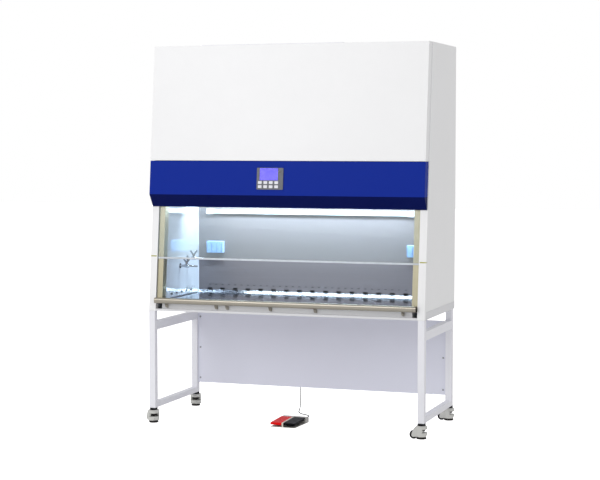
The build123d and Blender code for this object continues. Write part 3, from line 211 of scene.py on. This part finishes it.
def brushed_steel(name, colour, roughness, stretch):
    """Stainless sheet with a brushed grain along its long direction."""
    finish = Finish(name, colour, roughness, metallic=1.0)
    grain = finish.noise(1.0, 4, stretch)
    finish.vary_colour(finish.spread(grain, 0, 1), darker(colour, 0.92))
    finish.vary_roughness(grain, 0.04)
    finish.bump(grain, 0.03, 0.0001)
    return finish


def moulded_plastic(name, colour, roughness):
    """Moulded plastic with a fine spark-eroded grain."""
    finish = Finish(name, colour, roughness)
    finish.vary_colour(finish.spread(finish.noise(14, 3), 0, 1), darker(colour, 0.93))
    finish.vary_roughness(finish.noise(60, 2), 0.06)
    finish.bump(finish.noise(1500, 1), 0.15, 0.0001)
    return finish


def rubber(name, colour):
    """Rubber with a dull bloom."""
    finish = Finish(name, colour, 0.62)
    finish.vary_colour(finish.spread(finish.noise(45, 4), 0, 1), darker(colour, 1.9))
    finish.vary_roughness(finish.noise(120, 2), 0.1)
    finish.bump(finish.noise(900, 2), 0.2, 0.0002)
    return finish


def plated_steel(name, colour, roughness):
    """Plated or turned metal with fine wear in its gloss."""
    finish = Finish(name, colour, roughness, metallic=1.0)
    finish.vary_roughness(finish.noise(90, 3), 0.06)
    finish.vary_colour(finish.spread(finish.noise(33, 3), 0, 1), darker(colour, 0.85))
    return finish


def band_coat():
    """Blue coat of the control band, with painted shade on the sheet that turns in under its fold: a
    darker navy there stands in for the shade on that down-facing face.
    """
    colour = sheet_colour(20, 46, 150)
    finish = Finish("blue powder coat", colour, 0.4, specular=0.04)
    # Painted shade: below the fold the blue turns to a darker navy, as the down-facing chamfer would look
    # in shade.
    is_shaded_underside = finish.maths("LESS_THAN", finish.axis("Z"), BAND_FOLD_Z)
    painted_shade_tone = coat_tone(finish, sheet_colour(8, 20, 84), sheet_colour(7, 18, 78))
    plain = coat_tone(finish, colour, darker(colour, COAT_DRIFT))
    return coat_peel(finish, finish.mix(is_shaded_underside, plain, painted_shade_tone))


def chamber_steel():
    """Chamber walls: a brushed rear wall between two side walls with a mirror finish; the side walls'
    near-white bluish colour is a painted reflection of the lamp-lit chamber.
    """
    rear_tone = sheet_colour(106, 101, 105)
    # Painted reflection: the side walls' near-white bluish tone stands in for the lit chamber seen in
    # their mirror steel.
    side_painted_reflection = sheet_colour(224, 230, 242)
    finish = Finish("chamber steel", rear_tone, 0.3, metallic=0.5)
    grain = finish.noise(1.0, 3, (1.6, 260, 260))
    sideways = finish.maths("ABSOLUTE", finish.axis("X"))
    is_side = finish.maths("GREATER_THAN", sideways, CHAMBER_HALF - 0.003)
    rear_sheet = finish.mix(finish.spread(grain, 0, 1), rear_tone, darker(rear_tone, 0.96))
    finish.link(finish.mix(is_side, rear_sheet, side_painted_reflection), finish.shader.inputs["Base Color"])
    rear = finish.spread(grain, 0.24, 0.27)
    side = finish.spread(finish.noise(5, 2), 0.05, 0.09)
    chosen = finish.node("ShaderNodeMix", data_type="FLOAT")
    finish.link(is_side, chosen.inputs["Factor"])
    finish.link(rear, chosen.inputs[2])
    finish.link(side, chosen.inputs[3])
    finish.link(chosen.outputs[0], finish.shader.inputs["Roughness"])
    finish.link(finish.spread(is_side, 0.3, 0.45, 0.0, 1.0), finish.shader.inputs["Metallic"])
    return finish


def rear_sheet_coat():
    """Back panel of the cabinet: painted outside, with near-black painted shade on the face towards the
    duct, standing in for the dark inside of the duct.
    """
    finish = Finish("rear panel coat and painted duct shade", WHITE, 0.38)
    is_duct_shade_face = finish.maths("LESS_THAN", finish.axis("Y"), rear_high.y - MID_SHEET)
    paint = coat_tone(finish, WHITE, darker(WHITE, COAT_DRIFT))
    # Painted shade: the face towards the duct is near black so the slots look into shade.
    return coat_peel(finish, finish.mix(is_duct_shade_face, paint, sheet_colour(26, 27, 30)))


def sash_glass():
    """Clear toughened glass that gains reflection at a glancing angle."""
    finish = Finish("sash glass", sheet_colour(214, 236, 236), 0.03)
    shader = finish.shader
    shader.inputs["IOR"].default_value = 1.5
    facing = finish.node("ShaderNodeLayerWeight")
    facing.inputs["Blend"].default_value = 0.22
    haze = finish.spread(finish.noise(3, 3), 0.0, 0.02)
    alpha = finish.maths("ADD", finish.spread(facing.outputs["Facing"], 0.07, 0.75, 0.0, 1.0), haze)
    finish.link(alpha, shader.inputs["Alpha"])
    return finish


def lit_tube():
    """Fluorescent tube: white phosphor with a low glow of its own."""
    finish = Finish("lamp tube", sheet_colour(240, 246, 250), 0.25)
    finish.shader.inputs["Emission Color"].default_value = sheet_colour(206, 236, 255)
    finish.shader.inputs["Emission Strength"].default_value = 0.6
    finish.vary_colour(finish.spread(finish.noise(30, 2), 0, 1), sheet_colour(228, 234, 240))
    return finish


def filter_media():
    """Pleated paper in a metal frame, with painted shade in the folds of the pleats."""
    finish = Finish("filter media", sheet_colour(226, 226, 220), 0.7)
    pleats = finish.node("ShaderNodeTexWave", wave_type="BANDS", bands_direction="X")
    pleats.inputs["Scale"].default_value = 60
    finish.link(finish.place, pleats.inputs["Vector"])
    # Painted shade: the darker bands follow the pleat folds.
    finish.vary_colour(pleats.outputs["Fac"], sheet_colour(186, 186, 180))
    finish.bump(pleats.outputs["Fac"], 0.6, 0.003)
    return finish


def display_glass(low, high):
    """Lit display behind clear plastic, next to the dark lens of the sensor."""
    finish = Finish("display", sheet_colour(62, 50, 206), 0.12)
    across = finish.axis("X")
    is_lens = finish.maths("GREATER_THAN", across, high.x - 0.016)
    drift = finish.spread(finish.noise(22, 2), 0, 1)
    glow = finish.mix(drift, sheet_colour(60, 44, 226), sheet_colour(78, 62, 240))
    lens = sheet_colour(16, 14, 18)
    lit = finish.mix(is_lens, glow, lens)
    finish.link(lit, finish.shader.inputs["Base Color"])
    finish.link(lit, finish.shader.inputs["Emission Color"])
    finish.shader.inputs["Emission Strength"].default_value = 0.35
    return finish


WHITE = sheet_colour(246, 246, 247)
STEEL = sheet_colour(174, 168, 156)
ALONG_X = (2.0, 330, 330)

body_paint = powder_coat("white powder coat", WHITE)
# Painted shade: the base pan's greyer white stands in for the shadow of the armrest above it.
pan_shaded_paint = powder_coat("base pan coat painted shade", sheet_colour(226, 226, 229))
stand_paint = powder_coat("stand powder coat", sheet_colour(242, 242, 248), 0.42)
back_paint = powder_coat("back panel powder coat", sheet_colour(232, 233, 246), 0.45)
band_paint = band_coat()
steel = brushed_steel("brushed stainless", STEEL, 0.3, ALONG_X)
tray_steel = brushed_steel("tray stainless", sheet_colour(206, 212, 220), 0.1, (1.4, 220, 220))
guide_steel = brushed_steel("guide stainless", sheet_colour(176, 170, 146), 0.34, (330, 330, 2.0))
galvanised = plated_steel("galvanised sheet", sheet_colour(176, 178, 180), 0.42)
edge_metal = plated_steel("sash edge metal", sheet_colour(180, 184, 190), 0.34)
chrome = plated_steel("chrome", sheet_colour(172, 173, 177), 0.1)
black_steel = plated_steel("blackened steel", sheet_colour(38, 38, 42), 0.4)
screw_steel = plated_steel("zinc plated steel", sheet_colour(168, 170, 174), 0.32)
caster_metal = powder_coat("caster casting", sheet_colour(208, 208, 204), 0.34)
wheel_plastic = moulded_plastic("wheel nylon", sheet_colour(15, 15, 17), 0.5)
foot_rubber = rubber("foot rubber", sheet_colour(20, 15, 14))
panel_plastic = moulded_plastic("panel plastic", sheet_colour(98, 100, 108), 0.42)
key_plastic = moulded_plastic("key plastic", sheet_colour(232, 232, 240), 0.35)
socket_plastic = moulded_plastic("socket plastic", sheet_colour(158, 184, 212), 0.36)
flap_plastic = moulded_plastic("flap plastic", sheet_colour(116, 150, 192), 0.3)
holder_plastic = moulded_plastic("lamp holder plastic", sheet_colour(226, 228, 230), 0.4)
handle_metal = plated_steel("cock handle metal", sheet_colour(150, 151, 156), 0.14)
switch_metal = powder_coat("foot switch casting", sheet_colour(190, 188, 182), 0.4)
divider_enamel = powder_coat("foot switch divider enamel", sheet_colour(234, 228, 212), 0.35)
red_paint = powder_coat("red pedal enamel", sheet_colour(236, 26, 24), 0.26, 0.03)
black_paint = powder_coat("black pedal enamel", sheet_colour(17, 17, 19), 0.32, 0.03)
cable_skin = moulded_plastic("cable skin", sheet_colour(88, 90, 92), 0.45)

FINISHES = {
    "base_pan": pan_shaded_paint, "left_side_panel": body_paint, "right_side_panel": body_paint,
    "rear_panel": rear_sheet_coat(), "top_panel": body_paint, "front_cover": body_paint,
    "stand_left_frame": stand_paint, "stand_right_frame": stand_paint, "stand_back_panel": back_paint,
    "control_fascia": band_paint, "sash_guides": guide_steel, "chamber_walls": chamber_steel(),
    "work_surface": tray_steel, "intake_grille": steel, "armrest": steel, "ceiling_diffuser": steel,
    "exhaust_guard": stand_paint, "supply_filter": filter_media(), "exhaust_filter": filter_media(),
    "plenum_box": galvanised, "blower_housing": galvanised, "blower_impeller": galvanised,
    "lamp_tubes": lit_tube(), "lamp_holders": holder_plastic, "sash_glass": sash_glass(),
    "sash_edge": edge_metal, "control_panel": panel_plastic,
    "display_window": display_glass(*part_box("display_window")),
    "socket_boxes": socket_plastic, "socket_flap_left": flap_plastic, "socket_flap_right": flap_plastic,
    "service_cocks": chrome, "cock_handle_upper": handle_metal, "cock_handle_lower": handle_metal,
    "caster_stems": black_steel, "foot_switch_base": switch_metal, "red_pedal": red_paint,
    "black_pedal": black_paint, "foot_switch_cable": cable_skin, "fasteners": screw_steel,
}
for number in range(1, 9):
    FINISHES[f"key_{number}"] = key_plastic
for corner in CORNERS:
    FINISHES[f"caster_housing_{corner}"] = caster_metal
    FINISHES[f"caster_wheel_{corner}"] = wheel_plastic
    FINISHES[f"levelling_foot_{corner}"] = foot_rubber

for name, node in frame["nodes"].items():
    node.data.materials.clear()
    node.data.materials.append(FINISHES[name].material)


# Finished copies of the CAD pieces, with softened edges and smooth round faces


SMOOTH_BELOW = math.radians(32)


def finished_copy(name, edge_radius):
    """The piece with its corners merged and its sharp edges rounded a little."""
    mesh = bpy.data.meshes.new(f"{name}_finished")
    shape = bmesh.new()
    shape.from_mesh(frame["nodes"][name].data)
    bmesh.ops.remove_doubles(shape, verts=shape.verts, dist=0.00001)
    bmesh.ops.dissolve_limit(shape, angle_limit=math.radians(0.3), verts=shape.verts, edges=shape.edges)
    for face in shape.faces:
        face.smooth = True
    shape.to_mesh(mesh)
    shape.free()
    mesh.set_sharp_from_angle(angle=SMOOTH_BELOW)
    piece = bpy.data.objects.new(f"{name}_finished", mesh)
    scene.collection.objects.link(piece)
    mesh.materials.clear()
    mesh.materials.append(FINISHES[name].material)
    if edge_radius:
        bevel = piece.modifiers.new("softened edges", "BEVEL")
        bevel.width = edge_radius
        bevel.segments = 2
        bevel.limit_method = "ANGLE"
        bevel.angle_limit = SMOOTH_BELOW
        bevel.harden_normals = True
    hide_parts(name)
    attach(piece, node_body[name])


SOFTENED = {
    "front_cover": 0.0012, "control_fascia": 0.0015, "left_side_panel": 0.0006, "right_side_panel": 0.0006,
    "armrest": 0.0, "stand_left_frame": 0.0, "stand_right_frame": 0.0, "control_panel": 0.0003,
    "service_cocks": 0.0004, "cock_handle_upper": 0.0012, "cock_handle_lower": 0.0012,
    "socket_boxes": 0.0015, "socket_flap_left": 0.0015, "socket_flap_right": 0.0015,
    "foot_switch_base": 0.0012, "red_pedal": 0.0015, "black_pedal": 0.0015, "caster_stems": 0.0006,
    "lamp_tubes": 0.0, "lamp_holders": 0.001, "blower_housing": 0.0, "blower_impeller": 0.0,
    "fasteners": 0.0004, "sash_edge": 0.0005,
}
for corner in CORNERS:
    SOFTENED[f"caster_housing_{corner}"] = 0.0012
    SOFTENED[f"caster_wheel_{corner}"] = 0.0008
    SOFTENED[f"levelling_foot_{corner}"] = 0.0006
for name, radius in SOFTENED.items():
    finished_copy(name, radius)


# Foot switch cable

CABLE_ROUTE = [
    (-0.132, 0.351, 0.659), (-0.132, 0.350, 0.589), (-0.129, 0.348, 0.509), (-0.127, 0.349, 0.424),
    (-0.129, 0.352, 0.339), (-0.133, 0.353, 0.254), (-0.135, 0.351, 0.169), (-0.134, 0.349, 0.094),
    (-0.131, 0.347, 0.036), (-0.130, 0.321, 0.005), (-0.118, 0.267, 0.0034), (-0.084, 0.215, 0.0032),
    (-0.034, 0.183, 0.0034), (-0.002, 0.145, 0.0032), (-0.006, 0.100, 0.0033), (-0.030, 0.070, 0.0033),
    (-0.044, 0.035, 0.0055), (-0.0461, 0.0046, 0.012), (-0.04734, -0.01936, 0.012),
]
CABLE_RADIUS = 0.003

cable_line = bpy.data.curves.new("foot_switch_cable_line", "CURVE")
cable_line.dimensions = "3D"
spline = cable_line.splines.new("NURBS")
spline.points.add(len(CABLE_ROUTE) - 1)
for point, place in zip(spline.points, CABLE_ROUTE):
    point.co = (*place, 1.0)
spline.order_u = 3
spline.use_endpoint_u = True
cable_line.resolution_u = 12
cable_line.bevel_depth = CABLE_RADIUS
cable_line.bevel_resolution = 4
cable_line.use_fill_caps = True
cable_line.materials.append(cable_skin.material)
cable = bpy.data.objects.new("cable", cable_line)
scene.collection.objects.link(cable)
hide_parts("foot_switch_cable")
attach(cable, "cabinet")


# Small pieces on the cabinet


def add_piece(name, shape, finish, body):
    """Object from a finished bmesh, on its body."""
    mesh = bpy.data.meshes.new(name)
    shape.to_mesh(mesh)
    shape.free()
    mesh.materials.append(finish.material)
    piece = bpy.data.objects.new(name, mesh)
    scene.collection.objects.link(piece)
    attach(piece, body)


def round_edges(shape, edges, radius):
    """Bevel edges of a shape in two steps."""
    bmesh.ops.bevel(shape, geom=edges, offset=radius, segments=2, profile=0.5, affect="EDGES", material=-1)


def plate(shape, low, high, edge=0.0):
    """Rectangular plate between two corners, its edges bevelled."""
    made = bmesh.ops.create_cube(shape, size=1.0)["verts"]
    size = Vector(high) - Vector(low)
    bmesh.ops.scale(shape, vec=size, verts=made)
    bmesh.ops.translate(shape, vec=(Vector(high) + Vector(low)) / 2, verts=made)
    if edge:
        round_edges(shape, list({e for v in made for e in v.link_edges}), edge)


def lean_back(shape, x, z):
    """Turn what lies flat at the origin, facing the user, onto the leaning front at a place."""
    place = Matrix.Translation((x, lean_y(z), z)) @ Matrix.Rotation(-LEAN, 4, "X")
    bmesh.ops.transform(shape, matrix=place, verts=shape.verts)


# Height marks on the columns; the right one is stuck round the corner

MARK_X = 0.829
MARK_Z = 1.001
MARK_HEIGHT = 0.006
MARK_HALF = 0.018
MARK_FILM = 0.0004
MARK_WRAP = 0.014
mark_finish = moulded_plastic("height mark film", sheet_colour(168, 166, 44), 0.4)
for side, sign in (("left", -1), ("right", 1)):
    mark = bmesh.new()
    plate(mark, (-MARK_HALF, -MARK_FILM, -MARK_HEIGHT / 2), (MARK_HALF, 0.0, MARK_HEIGHT / 2))
    lean_back(mark, sign * MARK_X, MARK_Z)
    if side == "right":
        plate(mark, (SIDE_X, lean_y(MARK_Z) - MARK_FILM, MARK_Z - MARK_HEIGHT / 2),
              (SIDE_X + MARK_FILM, lean_y(MARK_Z) + MARK_WRAP, MARK_Z + MARK_HEIGHT / 2))
    add_piece(f"height_mark_{side}", mark, mark_finish, "cabinet")


# Sloping strip that turns the tray up to the rear wall

COVE_DEPTH = 0.026
COVE_RISE = 0.016
COVE_SHEET = 0.0012
COVE_END_GAP = 0.002
COVE_BACK_GAP = 0.0005
TRAY_SINK = 0.005
cove = bmesh.new()
cove_ends = []
for x in (tray_low.x + COVE_END_GAP, tray_high.x - COVE_END_GAP):
    foot = cove.verts.new((x, tray_high.y - COVE_DEPTH, tray_high.z - TRAY_SINK))
    head = cove.verts.new((x, tray_high.y - COVE_BACK_GAP, tray_high.z - TRAY_SINK + COVE_RISE))
    cove_ends.append(cove.edges.new((foot, head)))
bmesh.ops.bridge_loops(cove, edges=cove_ends)
bmesh.ops.recalc_face_normals(cove, faces=cove.faces)
bmesh.ops.solidify(cove, geom=cove.faces[:], thickness=COVE_SHEET)
bmesh.ops.recalc_face_normals(cove, faces=cove.faces)
add_piece("tray_cove", cove, tray_steel, "cabinet")


# Socket flaps: moulded ribs down the face of each flap

RIB_SHARES = (0.04, 0.34, 0.66, 0.96)
RIB_HALF = 0.0016
RIB_PROUD = 0.0012
RIB_ROUND = 0.0004
RIB_FOOT = 0.004
RIB_HEAD = 0.012
flap_rib = moulded_plastic("flap rib plastic", sheet_colour(74, 108, 158), 0.3)
for side in ("left", "right"):
    flap_low, flap_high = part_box(f"socket_flap_{side}")
    ribs = bmesh.new()
    for share in RIB_SHARES:
        middle = flap_low.x + share * (flap_high.x - flap_low.x)
        plate(ribs, (middle - RIB_HALF, flap_low.y - RIB_PROUD, flap_low.z + RIB_FOOT),
              (middle + RIB_HALF, flap_low.y, flap_high.z - RIB_HEAD), RIB_ROUND)
    add_piece(f"flap_ribs_{side}", ribs, flap_rib, node_body[f"socket_flap_{side}"])


# Foot switch: enamelled divider between the pedals, a sloping bar and a strip down its front

SWITCH_PLACE = Matrix.Translation((-0.030, -0.147, 0)) @ Matrix.Rotation(math.radians(-3.0), 4, "Z")
SWITCH_FRONT = -0.1125
SWITCH_PLATE = 0.003
DIVIDER_HALF = 0.0045
DIVIDER_LENGTH = 0.1702
DIVIDER_THICKNESS = 0.004
DIVIDER_ROUND = 0.0012
DIVIDER_NOSE = 0.0005
DIVIDER_FOOT_Z = 0.0242
DIVIDER_SLOPE = math.atan(10 / 170)
STRIP_TOP = 0.0262
STRIP_PROUD = 0.0006
STRIP_ROUND = 0.0002
divider = bmesh.new()
plate(divider, (-DIVIDER_HALF, 0, 0), (DIVIDER_HALF, DIVIDER_LENGTH, DIVIDER_THICKNESS), DIVIDER_ROUND)
onto_web = Matrix.Translation((0, SWITCH_FRONT - DIVIDER_NOSE, DIVIDER_FOOT_Z))
onto_web = onto_web @ Matrix.Rotation(DIVIDER_SLOPE, 4, "X")
bmesh.ops.transform(divider, matrix=onto_web, verts=divider.verts)
plate(divider, (-DIVIDER_HALF, SWITCH_FRONT - STRIP_PROUD, SWITCH_PLATE),
      (DIVIDER_HALF, SWITCH_FRONT, STRIP_TOP), STRIP_ROUND)
bmesh.ops.transform(divider, matrix=SWITCH_PLACE, verts=divider.verts)
add_piece("pedal_divider", divider, divider_enamel, node_body["foot_switch_base"])


# Levelling feet: the moulded skirt of each rubber pad

SKIRT_BASE = 0.0031
SKIRT_HEIGHT = 0.0102
SKIRT_FOOT_RADIUS = 0.0284
SKIRT_TOP_RADIUS = 0.0258
SKIRT_ROUND = 0.0009
FLAT_ABOVE = 0.9
for corner in CORNERS:
    pad_low, pad_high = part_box(f"levelling_foot_{corner}")
    skirt = bmesh.new()
    bmesh.ops.create_cone(skirt, cap_ends=True, segments=48, radius1=SKIRT_FOOT_RADIUS,
                          radius2=SKIRT_TOP_RADIUS, depth=SKIRT_HEIGHT)
    rims = [edge for edge in skirt.edges if edge.verts[0].co.z * edge.verts[1].co.z > 0]
    round_edges(skirt, rims, SKIRT_ROUND)
    middle = (pad_low + pad_high) / 2
    middle.z = SKIRT_BASE + SKIRT_HEIGHT / 2
    bmesh.ops.translate(skirt, vec=middle, verts=skirt.verts)
    for face in skirt.faces:
        face.smooth = abs(face.normal.z) < FLAT_ABOVE
    add_piece(f"foot_skirt_{corner}", skirt, foot_rubber, node_body[f"levelling_foot_{corner}"])


# Stage: pale floor, white surroundings, soft lights and the camera

FLOOR_DROP = 0.0006
AMBIENT = 0.7
floor_shape = bmesh.new()
bmesh.ops.create_grid(floor_shape, x_segments=1, y_segments=1, size=30)
bmesh.ops.translate(floor_shape, vec=(0, 0, -FLOOR_DROP), verts=floor_shape.verts)
floor_mesh = bpy.data.meshes.new("floor")
floor_shape.to_mesh(floor_mesh)
floor_shape.free()
floor = bpy.data.objects.new("floor", floor_mesh)
scene.collection.objects.link(floor)

floor_material = bpy.data.materials.new("floor")
floor_material.use_nodes = True
floor_tree = floor_material.node_tree
floor_shader = floor_tree.nodes["Principled BSDF"]
floor_shader.inputs["Base Color"].default_value = sheet_colour(246, 246, 246)
floor_shader.inputs["Roughness"].default_value = 0.9
floor_shader.inputs["Emission Color"].default_value = (1, 1, 1, 1)
seen = floor_tree.nodes.new("ShaderNodeLightPath")
floor_tree.links.new(seen.outputs["Is Camera Ray"], floor_shader.inputs["Emission Strength"])
floor_mesh.materials.append(floor_material)

world = bpy.data.worlds.new("studio")
scene.world = world
world.use_nodes = True
world_tree = world.node_tree
background = world_tree.nodes["Background"]
background.inputs["Color"].default_value = (1.0, 1.0, 1.0, 1.0)
path = world_tree.nodes.new("ShaderNodeLightPath")
seen_directly = world_tree.nodes.new("ShaderNodeMath")
seen_directly.operation = "MAXIMUM"
world_tree.links.new(path.outputs["Is Camera Ray"], seen_directly.inputs[0])
world_tree.links.new(path.outputs["Is Transmission Ray"], seen_directly.inputs[1])
strength = world_tree.nodes.new("ShaderNodeMapRange")
strength.inputs["To Min"].default_value = AMBIENT
strength.inputs["To Max"].default_value = 1.0
world_tree.links.new(seen_directly.outputs[0], strength.inputs["Value"])
world_tree.links.new(strength.outputs["Result"], background.inputs["Strength"])


def area_light(name, place, target, size, energy, colour=(1, 1, 1), height=None):
    """Soft rectangular light that faces a target and isn't seen itself."""
    data = bpy.data.lights.new(name, "AREA")
    data.energy = energy
    data.size = size
    if height:
        data.shape = "RECTANGLE"
        data.size_y = height
    data.color = colour
    lamp = bpy.data.objects.new(name, data)
    scene.collection.objects.link(lamp)
    lamp.location = place
    aim = Vector(target) - Vector(place)
    lamp.rotation_euler = aim.to_track_quat("-Z", "Y").to_euler()
    lamp.visible_camera = False


LAMP_TINT = (0.72, 0.9, 1.0)
area_light("key", (-2.2, -6.1, 3.5), (0, 0, 1.3), 3.0, 104)
area_light("chamber_glow", (0, lean_y(1.33, -0.11), 1.335), (0, 0.22, 1.0), 1.35, 0.5, LAMP_TINT, 0.06)
area_light("rear_wash", (0, wall_high.y - 0.2, 1.33), (0, wall_high.y - 0.06, 1.2), 1.38, 21.0,
           LAMP_TINT, 0.05)

CAMERA_PLACE = (3.1084, -9.0314, 1.6816)
CAMERA_YAW = math.radians(-19.08)
CAMERA_PITCH = math.radians(3.52)
CAMERA_LENS = 95.66
camera_data = bpy.data.cameras.new("camera")
camera_data.lens = CAMERA_LENS
camera_data.sensor_width = 36.0
camera_data.clip_end = 100
camera = bpy.data.objects.new("camera", camera_data)
scene.collection.objects.link(camera)
camera.location = CAMERA_PLACE
level = math.cos(CAMERA_PITCH)
look = Vector((math.sin(CAMERA_YAW) * level, math.cos(CAMERA_YAW) * level, -math.sin(CAMERA_PITCH)))
camera.rotation_mode = "QUATERNION"
camera.rotation_quaternion = look.to_track_quat("-Z", "Y")
scene.camera = camera

scene.view_settings.view_transform = "Standard"
